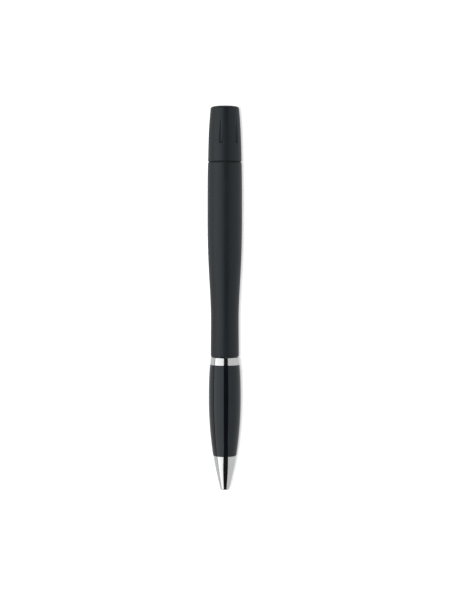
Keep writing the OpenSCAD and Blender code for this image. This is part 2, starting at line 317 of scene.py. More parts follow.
def clear_plastic(name, colour, roughness, through):
    """Unfilled plastic that light goes through, a little uneven from the extruder."""
    plastic = new_finish(name, colour, roughness)
    shader_of(plastic).inputs["Transmission Weight"].default_value = through
    shader_of(plastic).inputs["IOR"].default_value = 1.49
    streaks = grain(plastic, 0.3, stretch=(1, 30, 1))
    vary(plastic, streaks, "Roughness", roughness * 0.7, roughness * 1.4)
    relief(plastic, (streaks, 0.004))
    return plastic


tube_r = 1.5
tube_bore = 0.95
ear_at = 27
ear_root = 1.2
ear_r = 2.1
ear_len = 1.8
ear_thick = 0.5
ear_slope = 0.55

tube = turned("refill_tube_clear", [
    (tube_bore, tube_front), (tube_r, tube_front, 0.08),
    (tube_r, tube_back, 0.08), (tube_bore, tube_back)], around=96)
for side in (-1, 1):
    ear_place = spot((ear_r + ear_root) / 2, ear_at + ear_len / 2, 90 * side)
    ear = block("ear", (ear_r - ear_root, ear_len, ear_thick), ear_place)
    bpy.ops.object.mode_set(mode="EDIT")
    # its outer edge towards the cap is drawn in, so that only its front stands square
    pick(ear, lambda v: reading(v.co)[0] > 1.8 and reading(v.co)[1] > ear_at + 1)
    bpy.ops.transform.translate(value=(-ear_slope * side * MM, 0, 0))
    bpy.ops.mesh.select_all(action="SELECT")
    bpy.ops.mesh.bevel(offset=0.1 * MM, segments=3, affect="EDGES")
    bpy.ops.object.mode_set(mode="OBJECT")
    cut(tube, ear, "UNION")
smooth(tube)
milky = clear_plastic("milky_polypropylene", (0.86, 0.88, 0.89), 0.32, 0.75)
tube.data.materials.append(milky)
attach(tube, "refill")
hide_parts("refill_tube")


# ---- Ink and grease -----------------------------------------------------------------------
# The tube holds a column of blue paste ink. A short plug of clear grease follows it and keeps
# it from running back; both end in the hollow curve of a liquid in a narrow tube.

ink_front, ink_back = ends("refill_ink")
grease_front, grease_back = ends("ink_follower")
liquid_r = tube_bore - 0.01
hollow = 0.3

ink = turned("ink_column", [
    (0, ink_front), (liquid_r, ink_front, 0.2),
    *flow((liquid_r, ink_back), (0.8, ink_back - 0.2), (0.4, ink_back - hollow),
          (0, ink_back - hollow))], around=64)
smooth(ink)
blue = new_finish("blue_paste_ink", (0.008, 0.016, 0.14), 0.12)
tint(blue, grain(blue, 1.5, stretch=(1, 4, 1)), (0.005, 0.01, 0.09), (0.012, 0.024, 0.2))
relief(blue, (grain(blue, 0.4), 0.004))
ink.data.materials.append(blue)
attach(ink, "refill")
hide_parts("refill_ink")

grease = turned("grease_plug", [
    *flow((0, ink_back - hollow + 0.02), (0.4, ink_back - hollow + 0.02), (0.8, ink_back - 0.18),
          (liquid_r, grease_front)),
    *flow((liquid_r, grease_back), (0.8, grease_back - 0.2), (0.4, grease_back - hollow),
          (0, grease_back - hollow))], around=64)
smooth(grease)
amber_grease = clear_plastic("follower_grease", (0.74, 0.64, 0.36), 0.2, 0.6)
grease.data.materials.append(amber_grease)
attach(grease, "refill")
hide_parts("ink_follower")


# ---- Return spring ------------------------------------------------------------------------
# Hard-drawn steel wire, coiled with closed turns at both ends. It stands on a step inside the
# nose cone and pushes on the refill's ears, so it shortens when the point comes out.

spring_front, spring_back = ends("return_spring")
wire_d = 0.32
coil_r = 1.85
coils = 11
closed_coils = 1.2
closed_pitch = wire_d + 0.03
steps_per_coil = 24

live_coils = coils - 2 * closed_coils
first, last = spring_front + wire_d / 2, spring_back - wire_d / 2
live_len = last - first - 2 * closed_coils * closed_pitch


def wire_at(turns):
    """Where the wire's centre is along the pen after that many turns from the front."""
    if turns < closed_coils:
        return first + turns * closed_pitch
    if turns > coils - closed_coils:
        return last - (coils - turns) * closed_pitch
    return first + closed_coils * closed_pitch + (turns - closed_coils) / live_coils * live_len


wire_line = bpy.data.curves.new("coil_spring", "CURVE")
wire_line.dimensions = "3D"
wire_line.bevel_depth = wire_d / 2 * MM
wire_line.bevel_resolution = 2
wire_line.use_fill_caps = True
centre_line = wire_line.splines.new("POLY")
centre_line.points.add(coils * steps_per_coil)
for i, point_on_wire in enumerate(centre_line.points):
    turns = i / steps_per_coil
    point_on_wire.co = (*spot(coil_r, wire_at(turns), 360 * turns), 1)
spring = bpy.data.objects.new("coil_spring", wire_line)
bpy.context.scene.collection.objects.link(spring)
bpy.ops.object.select_all(action="DESELECT")
spring.select_set(True)
bpy.context.view_layer.objects.active = spring
bpy.ops.object.convert(target="MESH")
bpy.ops.object.mode_set(mode="EDIT")
bpy.ops.mesh.select_all(action="SELECT")
bpy.ops.mesh.remove_doubles(threshold=1e-7)
bpy.ops.mesh.normals_make_consistent(inside=False)
bpy.ops.object.mode_set(mode="OBJECT")
smooth(spring, angle=50)
wire = new_finish("drawn_spring_wire", (0.56, 0.56, 0.57), 0.28, metallic=1)
tint(wire, grain(wire, 1.2), (0.42, 0.41, 0.4), (0.62, 0.62, 0.63))
vary(wire, grain(wire, 0.15), "Roughness", 0.2, 0.42)
relief(wire, (grain(wire, 0.05), 0.002))
spring.data.materials.clear()
spring.data.materials.append(wire)
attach(spring, "grip")
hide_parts("return_spring")
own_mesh(spring)


# ---- Plunger ------------------------------------------------------------------------------
# A white acetal moulding that holds the refill's tail. A real one has a round lug at each side,
# through the slots of the fixed tube into the helix of the turning one. Here both lugs lie
# across its top instead and cut into the fixed tube, for the reason given at peg().

def moulding(name, colour, roughness=0.45, shade=0.9):
    """Plain moulded plastic: faint flow marks, a little unevenness in its sheen, fine texture."""
    plastic = new_finish(name, colour, roughness)
    shader_of(plastic).inputs["Subsurface Weight"].default_value = 0.08
    shader_of(plastic).inputs["Subsurface Scale"].default_value = 0.4 * MM
    flow_marks = grain(plastic, 2.2, stretch=(1, 2.5, 1), detail=3)
    tint(plastic, flow_marks, [c * shade for c in colour], colour)
    vary(plastic, grain(plastic, 0.8), "Roughness", roughness * 0.85, roughness * 1.15)
    relief(plastic, (grain(plastic, 0.08), 0.0015), (flow_marks, 0.006))
    return plastic


def swing(piece, along, turn):
    """Turns a mesh made beside the origin round the pen's axis, and moves it along the pen."""
    piece.data.transform(Matrix.Translation(spot(0, along)) @ Matrix.Rotation(math.radians(turn), 4, "Y"))


def peg(name, radius, start, stop, along, turn):
    """A round peg with its far end rounded over, meant to stand out from the axis from start to
    stop. Its place is never applied to its mesh, so the turn doesn't move it round the axis: at
    90 or -90 it lies across the pen, above the axis by half of start and stop together."""
    length = (stop - start) * MM
    piece = start_piece(name, bpy.ops.mesh.primitive_cylinder_add, vertices=48, radius=radius * MM,
                        depth=length, location=(0, 0, (start + stop) / 2 * MM))
    bpy.ops.object.mode_set(mode="EDIT")
    bpy.ops.mesh.select_mode(type="FACE")
    pick(piece, lambda f: f.normal.z > 0.9, "faces")
    bpy.ops.mesh.bevel(offset=radius * 0.3 * MM, segments=4, affect="EDGES")
    bpy.ops.mesh.select_mode(type="VERT")
    bpy.ops.object.mode_set(mode="OBJECT")
    swing(piece, along, turn)
    return piece


plunger_front, plunger_back = ends("plunger")
plunger_r = 2.7
socket_r = tube_r + 0.02
lug_r = 0.45
lug_out = 4
lug_at = plunger_front + 5

plunger = turned("plunger_moulding", [
    (0, plunger_front + 3.5), (socket_r, plunger_front + 3.5), (socket_r, plunger_front, 0.1),
    (plunger_r - 0.3, plunger_front, 0.08), (plunger_r, plunger_front + 0.4, 0.15),
    (plunger_r, plunger_front + 2.6, 0.05), (plunger_r - 0.15, plunger_front + 2.75, 0.05),
    (plunger_r - 0.15, plunger_front + 3.9, 0.05), (plunger_r, plunger_front + 4.05, 0.05),
    (plunger_r, plunger_back - 0.4, 0.15), (plunger_r - 0.4, plunger_back, 0.08),
    (1.4, plunger_back, 0.08), (1.4, plunger_back - 2, 0.1), (0, plunger_back - 2)], around=96)
for turn in (90, -90):
    cut(plunger, peg("lug", lug_r, 1.7, lug_out, lug_at, turn), "UNION")
smooth(plunger)
acetal = moulding("white_acetal", (0.78, 0.78, 0.75))
plunger.data.materials.append(acetal)
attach(plunger, "refill")
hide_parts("plunger")


# ---- Nose cone ----------------------------------------------------------------------------
# A bullet-shaped moulding in plated plastic, bright as a mirror. Its spigot snaps into the
# grip, and the step inside it carries the spring.

def bright_plate(name, colour, roughness):
    """Chrome over polished plastic: nearly a mirror, with faint rubbing marks and a hint of the
    moulding's waviness under it."""
    plate = new_finish(name, colour, roughness, metallic=1)
    rubbing = grain(plate, 0.1, stretch=(30, 1, 30), detail=5)
    haze = grain(plate, 3.0, detail=3)
    tint(plate, haze, [c * 0.96 for c in colour], colour)
    handled = grain(plate, 0.9, stretch=(1, 3, 1), detail=4)
    vary(plate, handled, "Roughness", roughness * 0.6, roughness * 1.5)
    relief(plate, (rubbing, 0.00012), (haze, 0.004))
    return plate


nose_tail = ends("nose_cone")[1]
nose_back = ends("grip_barrel")[0]
spring_room_r = 2.45
guide_r = 1.7
hole_r = 1.25
mouth_r = 1.675
mouth_round = 0.12
seam_r = 4.35
spigot_r = 3.48
snap_r = spigot_r + 0.12

nose = turned("nose_cone_plated", [
    (hole_r, 0.35), (hole_r + 0.02, 0.08, 0.05),
    *arc((mouth_r - mouth_round, mouth_round), mouth_round, -90, -20, cuts=4),
    *flow((mouth_r + 0.04, 0.28), (2.62, 4), (3.72, 9), (seam_r, nose_back - 0.08), cuts=36),
    (seam_r - 0.08, nose_back), (spigot_r, nose_back, 0.05),
    (spigot_r, nose_back + 2, 0.1), (snap_r, nose_back + 2.4, 0.1),
    (snap_r, nose_back + 2.8, 0.1), (spigot_r, nose_back + 3.2, 0.1),
    (spigot_r, nose_tail - 0.4, 0.05), (spigot_r - 0.3, nose_tail, 0.08),
    (spring_room_r, nose_tail, 0.1), (spring_room_r, spring_front, 0.12),
    (guide_r, spring_front, 0.08), (guide_r, 3.8, 0.2), (hole_r, 3, 0.2)], around=192)
smooth(nose)
chrome = bright_plate("bright_chrome", (0.69, 0.695, 0.7), 0.07)
nose.data.materials.append(chrome)
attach(nose, "grip")
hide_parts("nose_cone")


# ---- Grip ---------------------------------------------------------------------------------
# Moulded in polished black plastic, fullest under the fingers. Its reduced neck carries the
# bright ring, and the twist mechanism's tube is pressed into its bore.

grip_front, grip_tail = ends("grip_barrel")
ring_front, ring_back = ends("center_ring")
neck_r = 4.5
grip_r = 6.1
fullest_at = 35
shoulder_r = 5.68
shoulder_round = 0.3
grip_bore = 3.45
spigot_bore = 3.5
snap_groove_r = 3.62
groove_at = grip_front + 2.6

grip = turned("grip_gloss_black", [
    (spigot_bore, grip_front, 0.05), (seam_r - 0.02, grip_front, 0.03),
    *flow((seam_r + 0.14, grip_front + 0.12), (5.2, 18), (grip_r, 25.5), (grip_r, fullest_at),
          cuts=28),
    *flow((grip_r, fullest_at), (grip_r, 40.5), (5.93, 44.5),
          (shoulder_r, ring_front - shoulder_round), cuts=16)[1:],
    *arc((shoulder_r - shoulder_round, ring_front - shoulder_round), shoulder_round, 12, 90, cuts=6),
    (neck_r, ring_front, 0.05), (neck_r, grip_tail, 0.15), (grip_bore, grip_tail, 0.1),
    (grip_bore, grip_front + 5.3, 0.1), (spigot_bore, grip_front + 5.3, 0.02),
    (spigot_bore, groove_at + 0.7, 0.1), (snap_groove_r, groove_at + 0.3, 0.1),
    (snap_groove_r, groove_at - 0.3, 0.1), (spigot_bore, groove_at - 0.7, 0.1)], around=192)
smooth(grip)
cool_sheen = (0.84, 0.94, 1, 1)
gloss = new_finish("polished_black", (0.0025, 0.003, 0.004), 0.045)
shader_of(gloss).inputs["Specular Tint"].default_value = cool_sheen
film = grain(gloss, 9, detail=4)
tint(gloss, film, (0.002, 0.0025, 0.0035), (0.003, 0.0036, 0.0048))
vary(gloss, grain(gloss, 2.4, stretch=(1, 1.6, 1), detail=5), "Roughness", 0.03, 0.085)
relief(gloss, (grain(gloss, 1.3), 0.0007), (grain(gloss, 0.09, detail=3), 0.00006))
grip.data.materials.append(gloss)
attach(grip, "grip")
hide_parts("grip_barrel")


# ---- Centre ring --------------------------------------------------------------------------
# A short plated ring, slightly flared towards the grip, pushed over the grip's neck and held
# there against its shoulder. A recess in its other end hides the twist tube's collar.

collar_r = 4.75

ring = turned("centre_ring_plated", [
    (neck_r + 0.02, ring_front + 0.01, 0.1), (5.47, ring_front + 0.01, 0.08),
    (5.51, ring_front + 0.3, 0.08), (5.42, ring_front + 1.4, 0.5),
    (5.3, ring_back - 0.2, 0.1), (5.2, ring_back, 0.06), (collar_r + 0.03, ring_back, 0.05),
    (collar_r + 0.03, grip_tail), (neck_r + 0.02, grip_tail, 0.05)], around=192)
smooth(ring)
ring.data.materials.append(chrome)
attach(ring, "grip")
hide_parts("center_ring")


# ---- Slotted tube of the twist mechanism --------------------------------------------------
# A white acetal tube pressed into the grip. Two long slots let the plunger's lugs slide but
# not turn, and a split snap lip at its end holds the turning sleeve on.

housing_front, housing_back = ends("mechanism_housing")
rotor_front, rotor_back = ends("cam_rotor")
housing_bore = 2.75
housing_r = 3.43
collar_len = 0.25
lip_r = 3.75
lip_gap = 0.15
lip_len = 0.4
travel = 5
slot_w = 1.0
slit_w = 0.6
slit_len = 6
slit_at = housing_back - 1
tool_out = 3.2
tool_deep = 3

housing = turned("slotted_tube", [
    (housing_bore, housing_front, 0.1), (housing_r - 0.23, housing_front, 0.05),
    (housing_r, housing_front + 0.5, 0.1), (housing_r, grip_tail, 0.03),
    (collar_r, grip_tail + 0.01, 0.05), (collar_r, grip_tail + collar_len, 0.05),
    (housing_r, grip_tail + collar_len, 0.05), (housing_r, rotor_back + lip_gap, 0.03),
    (lip_r, rotor_back + lip_gap, 0.08), (lip_r, rotor_back + lip_gap + lip_len, 0.08),
    (housing_r - 0.13, housing_back, 0.08), (housing_bore, housing_back, 0.08)], around=144)
slot_len = travel + 2 * lug_r + 0.3
for turn in (90, -90):
    slot_place = spot(tool_out, lug_at - travel / 2, turn)
    cut(housing, block("slot", (tool_deep, slot_len, slot_w), slot_place, bevel=0.2))
for turn in (0, 180):
    cut(housing, block("slit", (slit_w, slit_len, tool_deep), spot(tool_out, slit_at, turn)))
smooth(housing)
housing.data.materials.append(acetal)
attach(housing, "grip")
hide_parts("mechanism_housing")


# ---- Turning sleeve of the twist mechanism ------------------------------------------------
# Natural acetal, ribbed outside so that the barrel drives it. Its two helical slots are there to
# push the plunger's lugs forward as the barrel is turned half a turn.

sleeve_r = 4.08
sleeve_bore = 3.48
ribs = 12
rib_out = 4.2
rib_wide = 0.5
rib_high = 0.3
rib_len = 8
rib_at = rotor_front + 5
twist = 180
overrun = 0.5
slot_run = travel + 2 * overrun
helix_w = 1.083
helix_deep = 2
helix_out = 4

sleeve = turned("helix_sleeve", [
    (sleeve_bore, rotor_front, 0.1), (sleeve_r, rotor_front, 0.12),
    (sleeve_r, rotor_back, 0.12), (sleeve_bore, rotor_back, 0.1)], around=144)
for i in range(ribs):
    rib_place = (0, 0, rib_out * MM - rib_high / 2 * MM)
    rib = block("rib", (rib_wide, rib_len, rib_high), rib_place, bevel=0.06)
    swing(rib, rib_at, 360 * i / ribs)
    cut(sleeve, rib, "UNION")
for side in (90, 270):
    # a small upright rectangle is swept round the axis while it slides towards the mouth
    slot = start_piece("slot", bpy.ops.mesh.primitive_plane_add, size=1)
    slot.data.transform(Matrix.Diagonal((helix_deep * MM, helix_w * MM, 1, 1)))
    slot.data.transform(Matrix.Rotation(math.radians(90), 4, "Y"))
    slot.data.transform(Matrix.Translation((0, (lug_at + overrun) * MM, helix_out * MM)))
    sweep = slot.modifiers.new("sweep", "SCREW")
    sweep.axis = "Y"
    sweep.angle = math.radians(twist * slot_run / travel)
    sweep.screw_offset = -slot_run * MM
    sweep.steps = sweep.render_steps = 72
    bpy.ops.object.modifier_apply(modifier=sweep.name)
    swing(slot, 0, side - twist * overrun / travel)
    bpy.ops.object.mode_set(mode="EDIT")
    bpy.ops.mesh.select_all(action="SELECT")
    bpy.ops.mesh.remove_doubles(threshold=1e-7)
    bpy.ops.mesh.select_all(action="DESELECT")
    bpy.ops.mesh.select_non_manifold()
    bpy.ops.mesh.fill()
    bpy.ops.mesh.select_all(action="SELECT")
    bpy.ops.mesh.normals_make_consistent(inside=False)
    bpy.ops.object.mode_set(mode="OBJECT")
    cut(sleeve, slot)
smooth(sleeve)
natural = moulding("natural_acetal", (0.7, 0.67, 0.57), 0.42)
sleeve.data.materials.append(natural)
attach(sleeve, "barrel")
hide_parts("cam_rotor")


# ---- Upper barrel -------------------------------------------------------------------------
# One moulding from the ring to the cap, sprayed with matt soft-touch lacquer. It swells from a
# slim waist, and four ribs in the wide bore hold the ink wad clear of the wall.

def soft_touch_lacquer():
    """Rubbery matt black: a fine sprayed grain, and broad patches that hands have rubbed a
    little smoother than the rest."""
    lacquer = new_finish("soft_touch_lacquer", (0.003, 0.0037, 0.0046), 0.46)
    shader_of(lacquer).inputs["Specular Tint"].default_value = cool_sheen
    rubbed = grain(lacquer, 7, stretch=(1, 1.8, 1), detail=4)
    tint(lacquer, rubbed, (0.0025, 0.0032, 0.004), (0.0035, 0.0043, 0.0052))
    vary(lacquer, rubbed, "Roughness", 0.42, 0.5)
    relief(lacquer, (grain(lacquer, 0.07, detail=3), 0.0011), (grain(lacquer, 0.9), 0.0012))
    return lacquer


barrel_front, barrel_back = ends("upper_barrel")
plug_front = ends("chamber_plug")[0]
wad_front, wad_back = ends("ink_reservoir")
rotor_bore = rib_out + 0.02
chamber_r = 5
chamber_front = plug_front - 0.1
band_front, band_back = barrel_back - 20.65, barrel_back - 12.65
barrel_r = 6.5
waist_r = 5.24
waist_at = 64
rib_start, rib_stop = chamber_front + 4.6, wad_back - 3.5
rib_tip = 4.25
rib_half = 4.6
rim_round = 0.15

barrel = turned("barrel_soft_touch", [
    (rotor_bore + 0.25, barrel_front, 0.1),
    *arc((waist_r - 0.51, barrel_front + 0.6), 0.6, -90, 0, cuts=8),
    *flow((waist_r + 0.09, barrel_front + 1), (waist_r + 0.07, 56), (waist_r, 59.5),
          (waist_r, waist_at), cuts=12),
    *flow((waist_r, waist_at), (waist_r, 76), (barrel_r, 82), (barrel_r, band_front), cuts=36)[1:],
    *flow((barrel_r, band_back), (barrel_r, band_back + 5), (6.42, barrel_back - 4),
          (6.34, barrel_back - rim_round), cuts=14),
    *arc((6.19, barrel_back - rim_round), rim_round, 10, 90, cuts=5),
    (chamber_r + 0.2, barrel_back, 0.05), (chamber_r, barrel_back - 0.2, 0.05),
    (chamber_r, rib_stop), (chamber_r, rib_start), (chamber_r, chamber_front, 0.1),
    (rotor_bore, chamber_front - 0.8, 0.1)], around=192)


def under_rib(face, turn):
    """Whether a face of the wide bore lies where the rib at that turn stands."""
    out, along, at = reading(face.calc_center_median())
    return out < chamber_r + 0.01 and rib_start < along < rib_stop and abs(at - turn) < rib_half


bpy.ops.object.mode_set(mode="EDIT")
bpy.ops.mesh.select_mode(type="FACE")
for turn in (45, 135, -135, -45):
    pick(barrel, lambda f: under_rib(f, turn), "faces")
    inward = spot(rib_tip - chamber_r, 0, turn) - spot(0, 0)
    bpy.ops.mesh.extrude_region_move(TRANSFORM_OT_translate={"value": inward})
bpy.ops.mesh.select_mode(type="VERT")
bpy.ops.object.mode_set(mode="OBJECT")
smooth(barrel)
lacquer = soft_touch_lacquer()
barrel.data.materials.append(lacquer)
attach(barrel, "barrel")
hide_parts("upper_barrel")


# ---- Marker chamber's bung ----------------------------------------------------------------
# A white cup pushed down the wide bore until it meets the step, so that ink can't reach the
# mechanism.

plug_back = ends("chamber_plug")[1]
plug_r = chamber_r - 0.02

plug = turned("chamber_bung", [
    (0, plug_front), (plug_r - 0.3, plug_front, 0.08), (plug_r, plug_front + 0.4, 0.12),
    (plug_r, plug_front + 1.5, 0.05), (plug_r - 0.08, plug_front + 1.7, 0.05),
    (plug_r - 0.08, plug_front + 2.4, 0.05), (plug_r, plug_front + 2.6, 0.05),
    (plug_r, plug_back - 0.3, 0.1), (plug_r - 0.2, plug_back, 0.06),
    (plug_r - 0.9, plug_back, 0.08), (plug_r - 1.1, plug_front + 1.3, 0.3),
    (0.9, plug_front + 1.3, 0.1), (0.7, plug_front + 1.5, 0.05), (0, plug_front + 1.5)], around=96)
smooth(plug)
plug.data.materials.append(acetal)
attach(plug, "barrel")
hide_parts("chamber_plug")


# ---- Ink wad ------------------------------------------------------------------------------
# A rod of bonded polyester fibre, soaked with amber iodine ink. It is cut square, and the
# nib is pushed into the middle of one end.

def bonded_fibre(name, dry, wet, roughness=0.85):
    """Fibres that all run along the pen, unevenly soaked."""
    fibre = new_finish(name, dry, roughness)
    shader_of(fibre).inputs["Sheen Weight"].default_value = 0.15
    strands = grain(fibre, 0.06, stretch=(1, 40, 1), detail=5)
    soaked = grain(fibre, 1.6, stretch=(1, 3, 1), detail=3)
    tint(fibre, soaked, wet, dry)
    vary(fibre, strands, "Roughness", roughness * 0.8, min(1, roughness * 1.15))
    relief(fibre, (strands, 0.02), (grain(fibre, 0.5, stretch=(1, 6, 1)), 0.02))
    return fibre


nib_front, nib_tip = ends("detector_nib")
wad_r = 4.1
nib_r = 1.7

wad = turned("fibre_wad", [
    (0, wad_front), (wad_r, wad_front, 0.15), (wad_r, wad_back, 0.15),
    (nib_r + 0.02, wad_back, 0.12), (nib_r + 0.02, nib_front - 0.01, 0.1),
    (0, nib_front - 0.01)], around=96)
smooth(wad)
soaked_wad = bonded_fibre("amber_soaked_wad", (0.5, 0.29, 0.09), (0.3, 0.14, 0.03))
wad.data.materials.append(soaked_wad)
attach(wad, "barrel")
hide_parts("ink_reservoir")


# ---- Wad's wrapper ------------------------------------------------------------------------
# Thin clear film drawn tight round the fibre, a little longer than it, with its edge lapped
# over and sealed in one line along the rod.

wrap_front, wrap_back = ends("reservoir_film")
wrap_in = wad_r + 0.02
wrap_out = wad_r + 0.1
lap_half = 8
lap_high = 0.03

wrap = turned("wad_wrapper", [
    (wrap_in, wrap_front), (wrap_out, wrap_front, 0.02), (wrap_out, wrap_back, 0.02),
    (wrap_in, wrap_back)], around=144)


def under_lap(face):
    """Whether a face is on the outside of the film, in the strip along its top that is lapped."""
    out, along, at = reading(face.calc_center_median())
    return out > wrap_out - 0.01 and abs(at) < lap_half and abs(face.normal.y) < 0.5


bpy.ops.object.mode_set(mode="EDIT")
bpy.ops.mesh.select_mode(type="FACE")
pick(wrap, under_lap, "faces")
bpy.ops.mesh.extrude_region_shrink_fatten(TRANSFORM_OT_shrink_fatten={"value": lap_high * MM})
bpy.ops.mesh.select_mode(type="VERT")
bpy.ops.object.mode_set(mode="OBJECT")
smooth(wrap)
clear_film = clear_plastic("wrapper_film", (0.9, 0.86, 0.74), 0.14, 0.9)
wrap.data.materials.append(clear_film)
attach(wrap, "barrel")
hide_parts("reservoir_film")


# ---- Nib holder ---------------------------------------------------------------------------
# One dark moulding plugs the barrel, carries the cap on a snap bead, and narrows to a cone
# round the nib. Two air channels beside the nib let air in as the ink goes out.

cap_rim = ends("cap_shell")[0]
holder_front = ends("nib_holder")[0]
flange_r = 6.1
seat_r = 4.85
seal_r = 3.95
seal_at = cap_rim + 5.6
nib_hole = nib_r + 0.02

holder = turned("nib_holder_moulding", [
    (nib_hole, holder_front + 3.7, 0.1), (wad_r + 0.15, holder_front + 3.7, 0.1),
    (wad_r + 0.15, holder_front, 0.05), (chamber_r - 0.27, holder_front, 0.08),
    (chamber_r - 0.02, holder_front + 0.4, 0.1), (chamber_r - 0.02, barrel_back, 0.02),
    (flange_r, barrel_back + 0.01, 0.06), (flange_r, cap_rim - 0.12, 0.06),
    (seat_r, cap_rim - 0.12, 0.08),
    (seat_r, cap_rim + 2.3, 0.1), (seat_r + 0.08, cap_rim + 2.65, 0.15),
    (seat_r + 0.08, cap_rim + 3.15, 0.15), (seat_r, cap_rim + 3.5, 0.1),
    (seat_r, cap_rim + 5, 0.15), (seat_r - 0.3, cap_rim + 5.3, 0.15), (seal_r, seal_at, 0.25),
    (seal_r, seal_at + 1.8, 0.12), (seal_r - 0.3, seal_at + 2.2, 0.12),
    (nib_hole + 0.62, nib_tip - 3.6, 0.4), (nib_hole + 0.4, nib_tip - 3, 0.12),
    (nib_hole, nib_tip - 3, 0.08)], around=192)
channel_size = (0.5, 20, 0.4)
for turn in (90, -90):
    channel_place = spot(nib_hole + 0.05, wad_back + 10, turn)
    cut(holder, block("channel", channel_size, channel_place, bevel=0.08))
smooth(holder)
black_moulding = moulding("matt_black_polypropylene", (0.009, 0.009, 0.01), 0.5, shade=0.8)
shader_of(black_moulding).inputs["Specular IOR Level"].default_value = 0.15
holder.data.materials.append(black_moulding)
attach(holder, "barrel")
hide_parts("nib_holder")


# ---- Detector nib -------------------------------------------------------------------------
# A rod of hard bonded fibre, ground to a slanted chisel. The iodine ink stains it amber in
# uneven patches; the darker stain where it dries at the point is left out.

nib = start_piece("chisel_nib", bpy.ops.mesh.primitive_cylinder_add, vertices=96, radius=nib_r * MM,
                  depth=(nib_tip - nib_front) * MM, rotation=(math.radians(-90), 0, 0),
                  location=spot(0, (nib_front + nib_tip) / 2))
bpy.ops.object.transform_apply(location=True, rotation=True, scale=True)
chisel_half = 27
chisel_land = 0.45
slant = 24
slant_start = 0.9
grinds = [
    (spot(0, nib_tip) + Vector((side * chisel_land * MM, 0, 0)),
     (side * math.cos(math.radians(chisel_half)), math.sin(math.radians(chisel_half)), 0))
    for side in (-1, 1)]
grinds.append((spot(0, nib_tip - slant_start),
               (0, math.cos(math.radians(slant)), -math.sin(math.radians(slant)))))
for place, facing in grinds:
    bpy.ops.object.mode_set(mode="EDIT")
    bpy.ops.mesh.select_all(action="SELECT")
    bpy.ops.mesh.bisect(plane_co=place, plane_no=facing, use_fill=True, clear_outer=True)
    bpy.ops.object.mode_set(mode="OBJECT")
soften = nib.modifiers.new("soften", "BEVEL")
soften.width = 0.12 * MM
soften.segments = 4
soften.limit_method = "ANGLE"
soften.angle_limit = math.radians(25)
bpy.ops.object.modifier_apply(modifier=soften.name)
smooth(nib, angle=40)
stained = bonded_fibre("amber_stained_nib", (0.62, 0.4, 0.15), (0.42, 0.2, 0.05), 0.75)
nib.data.materials.append(stained)
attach(nib, "barrel")
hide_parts("detector_nib")


# ---- Cap's inner seal ---------------------------------------------------------------------
# A soft natural liner pressed into the cap. Its mouth closes on the holder's cone, so that the
# ink can't dry in the small room round the nib.

liner_front, liner_back = ends("cap_inner_seal")
liner_r = 4.58
room_r = 3.1
liner_wall = 0.55

liner = turned("cap_liner", [
    (seal_r + 0.05, liner_front, 0.1), (liner_r, liner_front, 0.12), (liner_r, liner_front + 2.6, 0.2),
    (room_r + liner_wall, liner_front + 5.2, 0.3), (room_r + liner_wall, liner_back, 0.3),
    (0, liner_back), (0, liner_back - liner_wall), (room_r, liner_back - liner_wall, 0.4),
    (room_r, liner_front + 5, 0.3), (seal_r + 0.05, liner_front + 2.3, 0.3)], around=144)
smooth(liner)
soft_natural = moulding("natural_polythene", (0.66, 0.64, 0.58), 0.36)
liner.data.materials.append(soft_natural)
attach(liner, "cap")
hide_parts("cap_inner_seal")


# ---- Cap ----------------------------------------------------------------------------------
# The tapered push-on cap is moulded and lacquered like the barrel. Six finger flutes start deep
# and round-ended near the rim, and run out as the cap tapers; its end is slightly crowned.

cap_end = ends("cap_shell")[1]
cap_bore = 4.97
liner_bore = 4.6
flutes = 6
first_flute = -14.2
flute_r = 0.8
flute_floor = 5.68
flute_start = cap_rim + 6.55
end_r = 5.36
end_round = 0.85

cap = turned("fluted_cap", [
    (cap_bore + 0.2, cap_rim, 0.1),
    *arc((6.15, cap_rim + rim_round), rim_round, -90, -5, cuts=5),
    *flow((6.3, cap_rim + 1), (6.17, cap_rim + 7.4), (5.92, cap_rim + 14.4),
          (end_r, cap_end - 1.15), cuts=40),
    *arc((end_r - end_round, cap_end - 1.2), end_round, 8, 78, cuts=9),
    *flow((end_r - 0.75, cap_end - 0.352), (3.6, cap_end - 0.137), (1.8, cap_end), (0, cap_end),
          cuts=12),
    (0, cap_end - 1.6), (liner_bore - 0.3, cap_end - 1.6, 0.1), (liner_bore, cap_end - 1.9, 0.1),
    (liner_bore, cap_rim + 5.9, 0.1), (cap_bore, cap_rim + 5.5, 0.1),
    (cap_bore, cap_rim + 3.35, 0.1), (cap_bore + 0.06, cap_rim + 3.15, 0.1),
    (cap_bore + 0.06, cap_rim + 2.65, 0.1), (cap_bore, cap_rim + 2.45, 0.1),
    (cap_bore, cap_rim + 0.2, 0.1)], around=192)
for i in range(flutes):
    # a ball is drawn out into a rod that leaves the cap's end, and laid into its side
    cutter = start_piece("flute", bpy.ops.mesh.primitive_uv_sphere_add, segments=48, ring_count=24,
                         radius=flute_r * MM, rotation=(math.radians(-90), 0, 0))
    bpy.ops.object.transform_apply(location=False, rotation=True, scale=False)
    bpy.ops.object.mode_set(mode="EDIT")
    pick(cutter, lambda v: v.co.y > 0.01 * MM)
    bpy.ops.transform.translate(value=(0, (cap_end - flute_start) * MM, 0))
    bpy.ops.object.mode_set(mode="OBJECT")
    cutter.data.transform(Matrix.Translation((0, flute_r * MM, (flute_floor + flute_r) * MM)))
    swing(cutter, flute_start, first_flute + 360 * i / flutes)
    cut(cap, cutter)
smooth(cap)
cap.data.materials.append(lacquer)
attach(cap, "cap")
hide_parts("cap_shell")


# ---- Table, lights and camera -------------------------------------------------------------
# The pen lies on a pale, faintly glowing sheet, such as a light table, in a pale room. A long
# soft light stands on either side, the left one stronger, with a dark gap between them overhead.
# A small lamp above lights the sheet, and so leaves the pen's shadow close to its right side.

